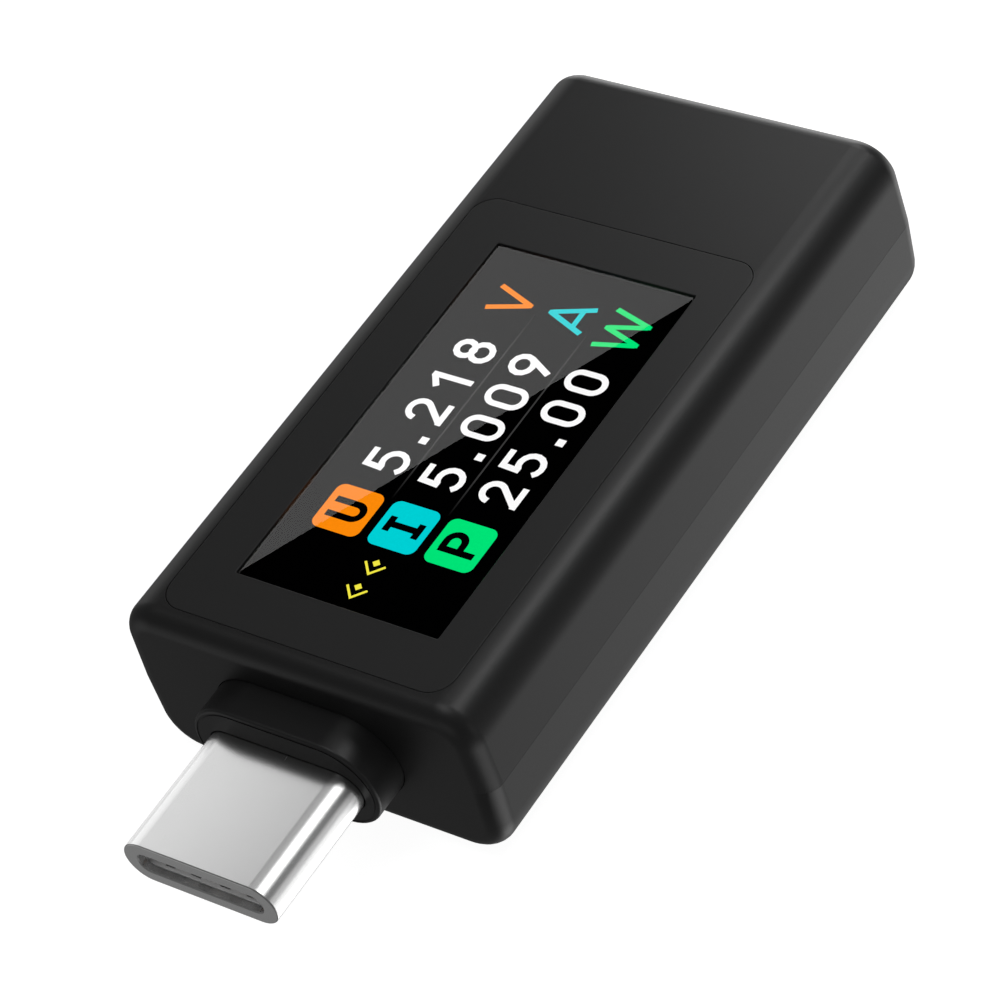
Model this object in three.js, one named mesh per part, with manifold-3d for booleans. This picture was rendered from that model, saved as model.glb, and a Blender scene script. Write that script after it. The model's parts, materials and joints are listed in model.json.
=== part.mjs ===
// Inline USB-C power meter: a snap-together casing with a flush display bezel, a plug at one end, a socket at the
// other, and the board, colour display and connector inner parts between them.
//
// Everything is in millimetres, +Z up. The parts are built in the casing's own frame: +X to the right, +Y from the
// plug end to the socket end, y = 0 at the plug end's face and z = 0 at the underside. The exported group then moves
// this frame so that the origin is the bottom centre of the whole object's bounding box.

import * as THREE from "three";
import { mergeVertices } from "three/addons/utils/BufferGeometryUtils.js";
import Module from "manifold-3d";

const wasm = await Module();
wasm.setup();

// ---------------------------------------------------------------- driving dimensions

const BODY_WIDTH = 19.3;
const BODY_LENGTH = 37.7;
const BODY_HEIGHT = 9.2;
const PARTING_Z = 4.6; // where the two shells meet, and the widest line of the casing
const WALL = 1.2;
const DRAFT_TOP = 0.12; // how far the sides lean in from the parting line up to the top
const DRAFT_BOTTOM = 0.1;
const SIDE_TOP_ROUND = 2.0; // rounding of the long top edges
const SIDE_BOTTOM_ROUND = 2.25;
const END_ROUND = 1.0; // rounding all round both end faces
const INNER_ROUND = 0.3; // smallest rounding inside the casing
const LIP_DEPTH = 0.6; // how far the lower shell's lip stands inside the wall
const LIP_HEIGHT = 0.6;
const FIT = 0.04; // gap left around a part that locates in another

const BEZEL = { width: 15.4, near: 1.07, far: 28.31, round: 1.2, bottom: 8.4 };
const BEZEL_GAP = 0.09; // the fine groove between bezel and casing
const WINDOW = { left: -5.2, right: 5.7, near: 3.84, far: 25.7 };
const LENS_BORDER = 0.5; // how far the lens reaches under the bezel on each side
const LENS = { bottom: 8.44, flangeTop: 8.88, top: 9.1 };
const LEDGE = { top: 8.3, bottom: 7.8 }; // the shelf in the upper shell that carries the bezel
const DISPLAY_OPENING = { half: 6.7, near: 2.3, far: 27.4 };

const BOARD = { half: 8.2, near: 2.9, far: 34.0, bottom: 4.0, top: 4.8, round: 1.0 };
const AXIS_Z = 4.4; // height of both connectors' centre lines, the middle of the board

const PLUG = { width: 8.25, height: 2.4, tip: -8.6, rear: 2.6, wall: 0.3, lip: 0.35 };
const PLUG_SLOT = { width: 6.7, height: 1.08, round: 0.5 };
const COLLAR = { width: 9.9, height: 5.1, reach: 1.9, centreZ: 4.55, edge: 0.25 };
const COLLAR_FLANGE = { width: 11.4, height: 6.2, near: 1.24, far: 2.04 };

const SOCKET = { width: 8.34, height: 2.56, wall: 0.3, front: 37.4, rear: 29.9, depth: 6.2 };
const TONGUE = { half: 3.345, halfThickness: 0.35, tip: 36.4, rootEnd: 32.2, rootHalf: 0.6 };

const CONTACTS = 12; // in each of a connector's two rows
const CONTACT_PITCH = 0.5;
const CONTACT_WIDTH = 0.25;
const CONTACT_X = Array.from({ length: CONTACTS }, (_, i) => (i - (CONTACTS - 1) / 2) * CONTACT_PITCH);
const ROW_HALF = 2.9; // half the length of the strip that joins a row of contacts
const CONTACT_PIVOT = { y: -1.78, z: 0.57 }; // where a plug contact row bends, z above the connector axis
const LATCH_PIVOT = { x: 3.37, y: -0.9 };

const ARC_SEGMENTS = 6;
const END_SEGMENTS = 5;
const OVER = 1; // how far a cutting shape runs past the face it cuts

// ---------------------------------------------------------------- materials

const material = (color, roughness, metalness, extra = {}) =>
  new THREE.MeshStandardMaterial({ color, roughness, metalness, ...extra });

const MATERIALS = {
  casing: material(0x262626, 0.5, 0),
  bezel: material(0x2a2a2a, 0.6, 0),
  lens: material(0xffffff, 0.03, 0, { transparent: true, opacity: 0.2 }),
  adhesive: material(0x111111, 0.9, 0),
  displayGlass: material(0x050506, 0.1, 0),
  lightGuide: material(0xe8ecee, 0.4, 0),
  displayFrame: material(0xd8d8d4, 0.5, 0),
  flex: material(0xb5651d, 0.5, 0),
  foam: material(0x303030, 1, 0),
  board: material(0x14432a, 0.5, 0),
  chip: material(0x17181a, 0.6, 0),
  ceramic: material(0xb59a76, 0.5, 0),
  solderedMetal: material(0xc4c6c8, 0.35, 1),
  shell: material(0xc9c9c9, 0.25, 1),
  spring: material(0xb9babb, 0.3, 1),
  gold: material(0xd9a441, 0.25, 1),
  insulator: material(0x1a1a1b, 0.6, 0),
};

// ---------------------------------------------------------------- solids

// A three.js geometry as a manifold-3d solid.
function solid(geometry) {
  const bare = geometry.index ? geometry.toNonIndexed() : geometry.clone();
  bare.deleteAttribute("normal");
  bare.deleteAttribute("uv");
  const merged = mergeVertices(bare, 1e-4);
  return new wasm.Manifold(
    new wasm.Mesh({
      numProp: 3,
      vertProperties: merged.attributes.position.array,
      triVerts: merged.index.array,
    }),
  );
}

// A manifold-3d solid as a three.js geometry.
function geometryOf(made) {
  const { numProp, numVert, vertProperties, triVerts } = made.getMesh();
  const positions = new Float32Array(numVert * 3);
  for (let i = 0; i < numVert; i++) {
    positions.set(vertProperties.subarray(i * numProp, i * numProp + 3), i * 3);
  }
  const geometry = new THREE.BufferGeometry();
  geometry.setAttribute("position", new THREE.BufferAttribute(positions, 3));
  geometry.setIndex(new THREE.BufferAttribute(new Uint32Array(triVerts), 1));
  geometry.computeVertexNormals();
  return geometry;
}

const join = (...solids) => solids.reduce((a, b) => a.add(b));
const cut = (from, ...solids) => solids.reduce((a, b) => a.subtract(b), from);

// A solid on the +X side, and its copy on the -X side.
const rightAndLeft = (made) => [made, made.mirror([1, 0, 0])];

// A box between two x, two y and two z planes.
function box(x0, x1, y0, y1, z0, z1) {
  const geometry = new THREE.BoxGeometry(x1 - x0, y1 - y0, z1 - z0);
  geometry.translate((x0 + x1) / 2, (y0 + y1) / 2, (z0 + z1) / 2);
  return solid(geometry);
}

// A box centred on x = 0.
const middleBox = (half, y0, y1, z0, z1) => box(-half, half, y0, y1, z0, z1);

// The shape again as plain points, with no two neighbours in the same place.
function pointsOnly(shape) {
  const points = shape.getPoints(ARC_SEGMENTS);
  const kept = points.filter((point, i) => point.distanceTo(points[(i + 1) % points.length]) > 1e-4);
  return new THREE.Shape(kept);
}

function extrude(shape, depth, bevel = { bevelEnabled: false }) {
  return new THREE.ExtrudeGeometry(pointsOnly(shape), { depth, ...bevel });
}

// An outline in the XY plane, from z0 up to z1.
function prismZ(shape, z0, z1) {
  const geometry = extrude(shape, z1 - z0);
  geometry.translate(0, 0, z0);
  return solid(geometry);
}

// An outline in the XZ plane, from y0 to y1. The rounded edge, if any, is at both ends.
function prismY(shape, y0, y1, edge = 0, edgeSegments = 2) {
  const bevel = {
    bevelEnabled: edge > 0,
    bevelThickness: edge,
    bevelSize: edge,
    bevelOffset: -edge,
    bevelSegments: edgeSegments,
  };
  const geometry = extrude(shape, y1 - y0 - 2 * edge, bevel);
  geometry.translate(0, 0, edge);
  geometry.rotateX(Math.PI / 2);
  geometry.translate(0, y1, 0);
  return solid(geometry);
}

// An outline in the YZ plane, from x0 to x1.
function prismX(shape, x0, x1) {
  const geometry = extrude(shape, x1 - x0);
  geometry.rotateX(Math.PI / 2);
  geometry.rotateZ(Math.PI / 2);
  geometry.translate(x0, 0, 0);
  return solid(geometry);
}

// ---------------------------------------------------------------- outlines

function roundedRect(centreX, centreY, width, height, radius) {
  const x = width / 2 - radius;
  const y = height / 2 - radius;
  const shape = new THREE.Shape();
  shape.absarc(centreX + x, centreY + y, radius, 0, Math.PI / 2);
  shape.absarc(centreX - x, centreY + y, radius, Math.PI / 2, Math.PI);
  shape.absarc(centreX - x, centreY - y, radius, Math.PI, 1.5 * Math.PI);
  shape.absarc(centreX + x, centreY - y, radius, 1.5 * Math.PI, 2 * Math.PI);
  return shape;
}

// A flat-sided oval, fully round at both ends, centred on the connector axis unless told otherwise.
const oval = (width, height, centreZ = AXIS_Z) => roundedRect(0, centreZ, width, height, height / 2);

const polygon = (points) => new THREE.Shape(points.map(([x, y]) => new THREE.Vector2(x, y)));

// A strip of even thickness whose middle line passes through the points.
function ribbon(points, thickness) {
  const line = points.map(([x, y]) => new THREE.Vector2(x, y));
  const side = (sign) =>
    line.map((point, i) => {
      const before = line[Math.max(i - 1, 0)];
      const after = line[Math.min(i + 1, line.length - 1)];
      const along = after.clone().sub(before).normalize();
      return point.clone().add(new THREE.Vector2(-along.y, along.x).multiplyScalar((sign * thickness) / 2));
    });
  return new THREE.Shape([...side(-1), ...side(1).reverse()]);
}

// The casing's cross section: widest at the parting line, leaning in above and below it.
function casingSection(half, bottom, top, topRound, bottomRound) {
  const topArc = half - DRAFT_TOP - topRound;
  const bottomArc = half - DRAFT_BOTTOM - bottomRound;
  const shape = new THREE.Shape();
  shape.absarc(bottomArc, bottom + bottomRound, bottomRound, -Math.PI / 2, 0);
  shape.lineTo(half, PARTING_Z);
  shape.absarc(topArc, top - topRound, topRound, 0, Math.PI / 2);
  shape.absarc(-topArc, top - topRound, topRound, Math.PI / 2, Math.PI);
  shape.lineTo(-half, PARTING_Z);
  shape.absarc(-bottomArc, bottom + bottomRound, bottomRound, Math.PI, 1.5 * Math.PI);
  return shape;
}

// The whole casing as one block, shrunk by inset on every face.
function casingBlock(inset) {
  const shrunk = (round) => Math.max(round - inset, INNER_ROUND);
  const section = casingSection(
    BODY_WIDTH / 2 - inset,
    inset,
    BODY_HEIGHT - inset,
    shrunk(SIDE_TOP_ROUND),
    shrunk(SIDE_BOTTOM_ROUND),
  );
  return prismY(section, inset, BODY_LENGTH - inset, shrunk(END_ROUND), END_SEGMENTS);
}

const slab = (z0, z1) => box(-BODY_WIDTH, BODY_WIDTH, -OVER, BODY_LENGTH + OVER, z0, z1);

// ---------------------------------------------------------------- the object

const meter = new THREE.Group();
const parts = new THREE.Group();
meter.add(parts);

function part(name, made, finish) {
  const mesh = new THREE.Mesh(geometryOf(made), MATERIALS[finish]);
  mesh.name = name;
  parts.add(mesh);
}

// ---------------------------------------------------------------- casing

const POSTS = [
  { x: -7.4, y: 4.6, pin: true },
  { x: 7.4, y: 4.6, pin: false },
  { x: -7.4, y: 32.6, pin: false },
  { x: 7.4, y: 32.6, pin: true },
];
const POST_HALF = 0.75;
const PIN_RADIUS = 0.45;
const PIN_HOLE_RADIUS = 0.55;
const SNAPS = [-1, 1].flatMap((side) => [8, 30].map((y) => ({ side, y })));
const HOLD_DOWN_Y = [11, 23]; // ribs that press the board onto the posts

function pillar(x, y, radius, z0, z1) {
  const geometry = new THREE.CylinderGeometry(radius, radius, z1 - z0, 10);
  geometry.rotateX(Math.PI / 2);
  geometry.translate(x, y, (z0 + z1) / 2);
  return solid(geometry);
}

// The ridge on the lip, or with a margin the pocket that it snaps into.
function snapRidge({ side, y }, margin) {
  const face = BODY_WIDTH / 2 - LIP_DEPTH - 0.2;
  const reach = BODY_WIDTH / 2 - 0.4 + margin;
  const outline = polygon([
    [face, 4.7 - margin],
    [reach, 4.85 - margin],
    [reach, 4.95 + margin],
    [face, 5.15 + margin],
  ]);
  const ridge = prismY(outline, y - 2 - margin, y + 2 + margin);
  return side > 0 ? ridge : ridge.mirror([1, 0, 0]);
}

function casing() {
  const outside = casingBlock(0);
  const hollow = casingBlock(WALL);
  const lipOutside = casingBlock(LIP_DEPTH);
  const plugHole = prismY(
    oval(COLLAR.width + 2 * FIT, COLLAR.height + 2 * FIT, COLLAR.centreZ),
    -OVER,
    COLLAR_FLANGE.near,
  );
  const socketHole = prismY(
    oval(SOCKET.width + 2 * SOCKET.wall + 0.16, SOCKET.height + 2 * SOCKET.wall + 0.16),
    BODY_LENGTH - WALL - OVER,
    BODY_LENGTH + OVER,
  );

  const bezelMiddle = (BEZEL.near + BEZEL.far) / 2;
  const bezelLength = BEZEL.far - BEZEL.near;
  const around = (margin) =>
    roundedRect(0, bezelMiddle, BEZEL.width + 2 * margin, bezelLength + 2 * margin, BEZEL.round + margin);
  const shelf = prismZ(around(0.3), LEDGE.bottom, BODY_HEIGHT - WALL + 0.1);
  const recess = prismZ(around(BEZEL_GAP), LEDGE.top, BODY_HEIGHT + OVER);
  const opening = middleBox(DISPLAY_OPENING.half, DISPLAY_OPENING.near, DISPLAY_OPENING.far, 7, BODY_HEIGHT);
  const rebate = casingBlock(LIP_DEPTH - FIT).intersect(slab(PARTING_Z - OVER, PARTING_Z + LIP_HEIGHT + FIT));
  const upper = cut(
    join(cut(outside, hollow), shelf).intersect(slab(PARTING_Z, BODY_HEIGHT + OVER)),
    recess,
    opening,
    rebate,
    plugHole,
    socketHole,
    ...SNAPS.map((snap) => snapRidge(snap, FIT)),
  );
  const holdDowns = HOLD_DOWN_Y.flatMap((y) =>
    rightAndLeft(box(7.2, 8.4, y - 0.8, y + 0.8, BOARD.top + FIT, BODY_HEIGHT - WALL + 0.2)),
  );
  part("upper_shell", join(upper, ...holdDowns), "casing");

  const lip = lipOutside.intersect(slab(PARTING_Z - 0.4, PARTING_Z + LIP_HEIGHT));
  const tub = cut(join(outside.intersect(slab(-OVER, PARTING_Z)), lip), hollow);
  const posts = POSTS.map(({ x, y }) =>
    box(x - POST_HALF, x + POST_HALF, y - POST_HALF, y + POST_HALF, WALL - 0.2, BOARD.bottom - FIT),
  );
  const pins = POSTS.filter((post) => post.pin).map(({ x, y }) => pillar(x, y, PIN_RADIUS, 3, 5.3));
  const snaps = SNAPS.map((snap) => snapRidge(snap, 0));
  part("lower_shell", cut(join(tub, ...snaps, ...posts, ...pins), plugHole, socketHole), "casing");
}

// ---------------------------------------------------------------- bezel, lens and display

// The window's outline moved outward by a margin.
const windowBox = (margin, z0, z1) =>
  box(WINDOW.left - margin, WINDOW.right + margin, WINDOW.near - margin, WINDOW.far + margin, z0, z1);

function bezelAndLens() {
  const middle = (BEZEL.near + BEZEL.far) / 2;
  const length = BEZEL.far - BEZEL.near;
  const pocket = windowBox(LENS_BORDER + FIT, BEZEL.bottom - OVER, LENS.flangeTop + 0.02);
  const window = windowBox(0, BEZEL.bottom - OVER, BODY_HEIGHT + OVER);
  const plate = prismZ(roundedRect(0, middle, BEZEL.width, length, BEZEL.round), BEZEL.bottom, BODY_HEIGHT);
  part("display_bezel", cut(plate, pocket, window), "bezel");

  const flange = windowBox(LENS_BORDER, LENS.bottom, LENS.flangeTop);
  const pane = windowBox(-FIT, LENS.bottom, LENS.top);
  part("display_lens", join(flange, pane), "lens");

  const inside = middleBox(
    DISPLAY_OPENING.half + 0.1,
    DISPLAY_OPENING.near - 0.1,
    DISPLAY_OPENING.far + 0.1,
    LEDGE.top - OVER,
    LEDGE.top + OVER,
  );
  const ring = prismZ(
    roundedRect(0, middle, BEZEL.width - 0.2, length - 0.2, BEZEL.round),
    LEDGE.top + 0.01,
    BEZEL.bottom - 0.01,
  );
  part("bezel_adhesive", cut(ring, inside), "adhesive");
}

function display() {
  part("display_front_glass", middleBox(6.45, 2.5, 27.2, 7.72, 8.26), "displayGlass");
  part("display_rear_glass", middleBox(6.45, 2.5, 29.9, 7.3, 7.7), "displayGlass");
  part("display_driver_chip", middleBox(4.5, 28.75, 29.35, 7.71, 7.94), "chip");

  const tray = middleBox(6.65, 2.3, 30.1, 6.3, 7.28);
  const trayInside = middleBox(6.25, 2.7, 29.7, 6.45, 7.28 + OVER);
  part("backlight_frame", cut(tray, trayInside), "displayFrame");
  part("backlight_guide", middleBox(6.2, 2.75, 29.65, 6.48, 7.25), "lightGuide");

  // The flex leaves the rear glass, turns round the module's far edge and drops to its pads on the board.
  const turn = { y: 30.25, z: 6.955, radius: 0.815 };
  const bend = Array.from({ length: 9 }, (_, i) => {
    const angle = Math.PI / 2 - (i / 8) * Math.PI;
    return [turn.y + turn.radius * Math.cos(angle), turn.z + turn.radius * Math.sin(angle)];
  });
  const path = [[29.45, 7.77], ...bend, [27.9, 6.14], [27.3, 6.02], [25.9, 5.02], [25.3, 4.9], [23.2, 4.9]];
  part("display_flex", prismX(ribbon(path, 0.1), -3, 3), "flex");

  part("foam_pad_front", middleBox(4.6, 5.2, 6.8, 4.83, 6.28), "foam");
  part("foam_pad_rear", middleBox(4.6, 19.4, 21.0, 4.83, 6.28), "foam");
}

// ---------------------------------------------------------------- board

const SOCKET_NOTCH = { half: 4.75, near: 29.4 };
const SOCKET_LEG = { y: 32.0, inner: 5.6, outer: 5.85 };

// Board parts are drawn standing on z = 0 and then soldered to the board's top or hung under it.
const SOLDER = 0.02;
const onTop = (made, x, y) => made.translate([x, y, BOARD.top + SOLDER]);
const under = (made, x, y) => made.mirror([0, 0, 1]).translate([x, y, BOARD.bottom - SOLDER]);

const block = (width, length, height) => middleBox(width / 2, -length / 2, length / 2, 0, height);

// A chip with a row of legs along its two long sides.
function leadedChip(width, length, height, legs) {
  const pitch = length / legs;
  const leads = Array.from({ length: legs }, (_, i) => {
    const y = pitch * (i + 0.5) - length / 2;
    return middleBox(width / 2 + 0.5, y - 0.12, y + 0.12, 0, 0.25);
  });
  return join(middleBox(width / 2, -length / 2, length / 2, 0.1, height), ...leads);
}

// A two-ended part lying along Y, with a slightly larger solder cap at each end.
function capped(width, length, height) {
  const cap = length * 0.24;
  const step = 0.04;
  return join(
    middleBox(width / 2 - step, cap - length / 2 - step, length / 2 - cap + step, step, height - step),
    middleBox(width / 2, length / 2 - cap, length / 2, 0, height),
    middleBox(width / 2, -length / 2, cap - length / 2, 0, height),
  );
}

function board() {
  const { half, near, far, bottom, top, round } = BOARD;
  const outline = roundedRect(0, (near + far) / 2, 2 * half, far - near, round);
  const legSlot = box(SOCKET_LEG.inner - 0.1, SOCKET_LEG.outer + 0.1, 31.4, 32.6, bottom - OVER, top + OVER);
  const pinHoles = POSTS.filter((post) => post.pin).map(({ x, y }) =>
    pillar(x, y, PIN_HOLE_RADIUS, bottom - OVER, top + OVER),
  );
  const notch = middleBox(SOCKET_NOTCH.half, SOCKET_NOTCH.near, far + OVER, bottom - OVER, top + OVER);
  part("main_board", cut(prismZ(outline, bottom, top), notch, ...rightAndLeft(legSlot), ...pinHoles), "board");

  part("microcontroller", onTop(block(5, 5, 0.85), -3.6, 11.5), "chip");
  part("metering_chip", onTop(leadedChip(3, 3, 1, 5), 3.6, 10.4), "chip");
  part("flash_chip", onTop(leadedChip(3.9, 4.9, 1.2, 4), 3.6, 16), "chip");
  part("clock_crystal", onTop(capped(2.5, 3.2, 0.8), -4, 17), "solderedMetal");
  part("shunt_resistor", under(capped(3.2, 6.35, 0.7), 0, 10.5), "solderedMetal");
  part("power_inductor", under(block(4, 4, 1.9), -3.6, 17), "chip");
  part("surge_diode", under(capped(2.6, 4.4, 2.1), 5, 25.2), "chip");
  part("voltage_regulator", under(leadedChip(1.7, 3, 1.1, 3), 3.4, 17), "chip");
  part("bulk_capacitor_input", under(capped(1.6, 3.2, 1.6), -5, 25.2), "ceramic");
  part("bulk_capacitor_output", under(capped(1.6, 3.2, 1.6), -2.4, 25.2), "ceramic");

  const filterPlaces = [
    [-6.7, 7.4],
    [6.7, 9.2],
    [6.7, 12.2],
    [-6.9, 17.0],
  ];
  filterPlaces.forEach(([x, y], i) => {
    part(`filter_capacitor_${i + 1}`, onTop(capped(0.8, 1.6, 0.75), x, y), "ceramic");
  });
  [-1, 1].forEach((side, i) => {
    part(`sense_resistor_${i + 1}`, under(capped(0.8, 1.6, 0.5), 3 * side, 10.5), "chip");
  });
}

// ---------------------------------------------------------------- connectors

// A solid drawn above the connector axis, and its copy below it.
function aboveAndBelow(made) {
  const upper = made.translate([0, 0, AXIS_Z]);
  const lower = made.mirror([0, 0, 1]).translate([0, 0, AXIS_Z]);
  return [upper, lower];
}

// A row of contacts with one YZ profile, joined by a strip. Heights are above the connector axis.
function contactRow(profile, strip) {
  const half = CONTACT_WIDTH / 2;
  const pins = CONTACT_X.map((x) => prismX(profile, x - half, x + half));
  return join(middleBox(ROW_HALF, strip.near, strip.far, strip.bottom, strip.top), ...pins);
}

function namePair(first, second, made, finish) {
  part(first, made[0], finish);
  part(second, made[1], finish);
}

function plug() {
  const { width, height, tip, rear, wall, lip } = PLUG;
  const slotOutline = roundedRect(0, AXIS_Z, PLUG_SLOT.width, PLUG_SLOT.height, PLUG_SLOT.round);
  const tab = box(3.75, 4.55, rear - 0.3, 4.8, BOARD.top + FIT, BOARD.top + FIT + 0.3);
  const shell = join(
    cut(
      prismY(oval(width, height), tip, rear, 0.12),
      prismY(oval(width - 2 * wall, height - 2 * wall), tip + lip, rear + OVER),
      prismY(slotOutline, tip - OVER, tip + lip + OVER),
    ),
    ...rightAndLeft(tab),
  );
  part("plug_shell", shell, "shell");

  const insideOval = oval(width - 2 * wall - 2 * 0.025, height - 2 * wall - 2 * 0.025);
  const front = { near: tip + lip + 0.05, far: -1.5 };
  const back = { near: -1.45, far: rear - 0.05 };
  const cavity = middleBox(3.36, front.near - OVER, -2.35, AXIS_Z - 0.52, AXIS_Z + 0.52);
  const grooves = CONTACT_X.flatMap((x) => aboveAndBelow(box(x - 0.17, x + 0.17, -7.05, front.far + OVER, 0.45, 0.82)));
  const strips = aboveAndBelow(middleBox(3.0, -2.1, front.far + OVER, 0.42, 0.8));
  const latchWindows = rightAndLeft(box(3.2, 4, -7.4, front.far + OVER, AXIS_Z - 0.36, AXIS_Z + 0.36));
  const springSeats = aboveAndBelow(middleBox(2.9, front.near - OVER, -7.15, 0.7, 1));
  const fingerX = [-2.2, -0.8, 0.8, 2.2];
  const fingerHoles = fingerX.flatMap((x) => aboveAndBelow(box(x - 0.28, x + 0.28, -8.05, -7.25, 0.4, 0.8)));
  part(
    "plug_insulator",
    cut(
      prismY(insideOval, front.near, front.far),
      cavity,
      ...grooves,
      ...strips,
      ...latchWindows,
      ...springSeats,
      ...fingerHoles,
    ),
    "insulator",
  );

  const tailSlots = aboveAndBelow(middleBox(2.95, back.near - OVER, back.far + OVER, 0.4, 0.6));
  const plateSlot = middleBox(3.04, -1.2, back.far + OVER, AXIS_Z - 0.09, AXIS_Z + 0.09);
  const latchSeats = rightAndLeft(box(3.14, 4, back.near - OVER, 0.3, AXIS_Z - 0.36, AXIS_Z + 0.36));
  part(
    "plug_rear_housing",
    cut(prismY(insideOval, back.near, back.far), ...tailSlots, plateSlot, ...latchSeats),
    "insulator",
  );
  part("plug_mid_plate", middleBox(3.0, -1.15, 2.5, AXIS_Z - 0.07, AXIS_Z + 0.07), "spring");

  // Each spring contact dips into the slot at its crest and turns back out at its tip.
  const beam = ribbon([[CONTACT_PIVOT.y, CONTACT_PIVOT.z], [-5.6, 0.37], [-6.2, 0.32], [-6.9, 0.56]], 0.13);
  const strip = { near: -1.95, far: -1.6, bottom: 0.5, top: 0.64 };
  namePair("plug_contacts_upper", "plug_contacts_lower", aboveAndBelow(contactRow(beam, strip)), "gold");
  const tail = polygon([[-1.0, 0.43], [4.3, 0.43], [4.3, 0.56], [-1.0, 0.56]]);
  const tailStrip = { near: 0.4, far: 0.8, bottom: 0.43, top: 0.56 };
  namePair("plug_tails_upper", "plug_tails_lower", aboveAndBelow(contactRow(tail, tailStrip)), "gold");

  const finger = ribbon([[-7.95, 0.78], [-7.75, 0.56], [-7.5, 0.56], [-7.35, 0.74]], 0.08);
  const grounding = join(
    middleBox(2.8, -8.1, -7.85, 0.74, 0.82),
    middleBox(2.8, -7.45, -7.2, 0.74, 0.82),
    ...fingerX.map((x) => prismX(finger, x - 0.2, x + 0.2)),
  );
  namePair("plug_grounding_spring_upper", "plug_grounding_spring_lower", aboveAndBelow(grounding), "spring");

  // The latch arm lies beside the slot, with a hook that snaps into the notch in the mating tongue.
  const { x, y } = LATCH_PIVOT;
  const root = 0.14;
  const arm = 0.07;
  const hook = 0.29;
  const outline = polygon([
    [x + root, 0.1],
    [x - root, 0.1],
    [x - root, y - 0.2],
    [x - arm, y - 0.5],
    [x - arm, -5.9],
    [x - hook, -6.15],
    [x - hook, -6.45],
    [x - arm, -7.0],
    [x + arm, -7.0],
    [x + arm, y - 0.5],
    [x + root, y - 0.2],
  ]);
  const latch = prismZ(outline, AXIS_Z - 0.3, AXIS_Z + 0.3);
  namePair("plug_latch_right", "plug_latch_left", rightAndLeft(latch), "spring");

  const flange = COLLAR_FLANGE;
  const collar = cut(
    join(
      prismY(oval(COLLAR.width, COLLAR.height, COLLAR.centreZ), -COLLAR.reach, flange.far, COLLAR.edge),
      prismY(oval(flange.width, flange.height, COLLAR.centreZ), flange.near, flange.far),
    ),
    prismY(oval(width + 2 * FIT, height + 2 * FIT), -COLLAR.reach - OVER, flange.far + OVER),
  );
  part("plug_collar", collar, "casing");
}

function socket() {
  const { width, height, wall, front, rear, depth } = SOCKET;
  const foot = join(
    box(4.15, SOCKET_LEG.outer, SOCKET_LEG.y - 0.5, SOCKET_LEG.y + 0.5, BOARD.top + FIT, BOARD.top + FIT + 0.25),
    box(
      SOCKET_LEG.inner,
      SOCKET_LEG.outer,
      SOCKET_LEG.y - 0.5,
      SOCKET_LEG.y + 0.5,
      BOARD.bottom - 0.4,
      BOARD.top + 0.2,
    ),
  );
  const shell = join(
    cut(
      prismY(oval(width + 2 * wall, height + 2 * wall), rear, front),
      prismY(oval(width, height), rear - OVER, front + OVER),
    ),
    ...rightAndLeft(foot),
  );
  part("socket_shell", shell, "shell");

  const { half, halfThickness, tip, rootEnd, rootHalf } = TONGUE;
  const base = front - depth;
  const rowSlots = aboveAndBelow(middleBox(2.95, rear - OVER, rootEnd + OVER, halfThickness, 0.5));
  const plateSlot = middleBox(half + OVER, 30.35, tip + OVER, AXIS_Z - 0.08, AXIS_Z + 0.08);
  const rootSides = rightAndLeft(box(3.45, 5, 30.0, rootEnd + OVER, AXIS_Z - 0.1, AXIS_Z + 0.1));
  const notches = rightAndLeft(box(3.05, 4, 33.4, 34.1, AXIS_Z - OVER, AXIS_Z + OVER));
  const housing = join(
    prismY(oval(width - 0.05, height - 0.05), rear + 0.05, base),
    middleBox(3.6, base - 0.5, rootEnd, AXIS_Z - rootHalf, AXIS_Z + rootHalf),
    middleBox(half, base - 0.5, tip, AXIS_Z - halfThickness, AXIS_Z + halfThickness),
  );
  part("socket_housing", cut(housing, ...rowSlots, cut(plateSlot, ...rootSides), ...notches), "insulator");
  const plate = middleBox(half, 30.4, tip - 0.1, AXIS_Z - 0.06, AXIS_Z + 0.06);
  part("socket_mid_plate", cut(plate, ...notches), "spring");

  // Each contact runs from the tongue's face back through the housing to its solder tail on the board.
  const flat = polygon([
    [27.9, 0.42],
    [30.2, 0.42],
    [30.6, 0.37],
    [35.9, 0.37],
    [35.9, 0.43],
    [30.7, 0.43],
    [30.3, 0.48],
    [27.9, 0.48],
  ]);
  const strip = { near: 31.4, far: 31.8, bottom: 0.37, top: 0.43 };
  namePair("socket_contacts_upper", "socket_contacts_lower", aboveAndBelow(contactRow(flat, strip)), "gold");

  const ring = cut(
    middleBox(3.72, base + 0.1, rootEnd - 0.1, AXIS_Z - rootHalf - 0.1, AXIS_Z + rootHalf + 0.1),
    middleBox(3.62, base - OVER, rootEnd + OVER, AXIS_Z - rootHalf - 0.02, AXIS_Z + rootHalf + 0.02),
  );
  part("socket_grounding_ring", ring, "spring");
}

casing();
bezelAndLens();
display();
board();
plug();
socket();

// The origin becomes the bottom centre of the bounding box, which runs from the plug's tip to the socket end's face.
parts.position.y = -(PLUG.tip + BODY_LENGTH) / 2;

export default meter;
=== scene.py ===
"""Looks for an inline USB-C power meter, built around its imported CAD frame.

Lengths are in millimetres in the frame's axes (+X across, +Y from plug to socket, +Z up) until a mesh is
made, which scales them to metres. Pieces with a fine outer shape are built here and stand for their CAD
nodes; every other node keeps its CAD shape and gets a procedural material.
"""

import json
import math

import bmesh
import bpy
from mathutils import Matrix, Vector

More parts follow.
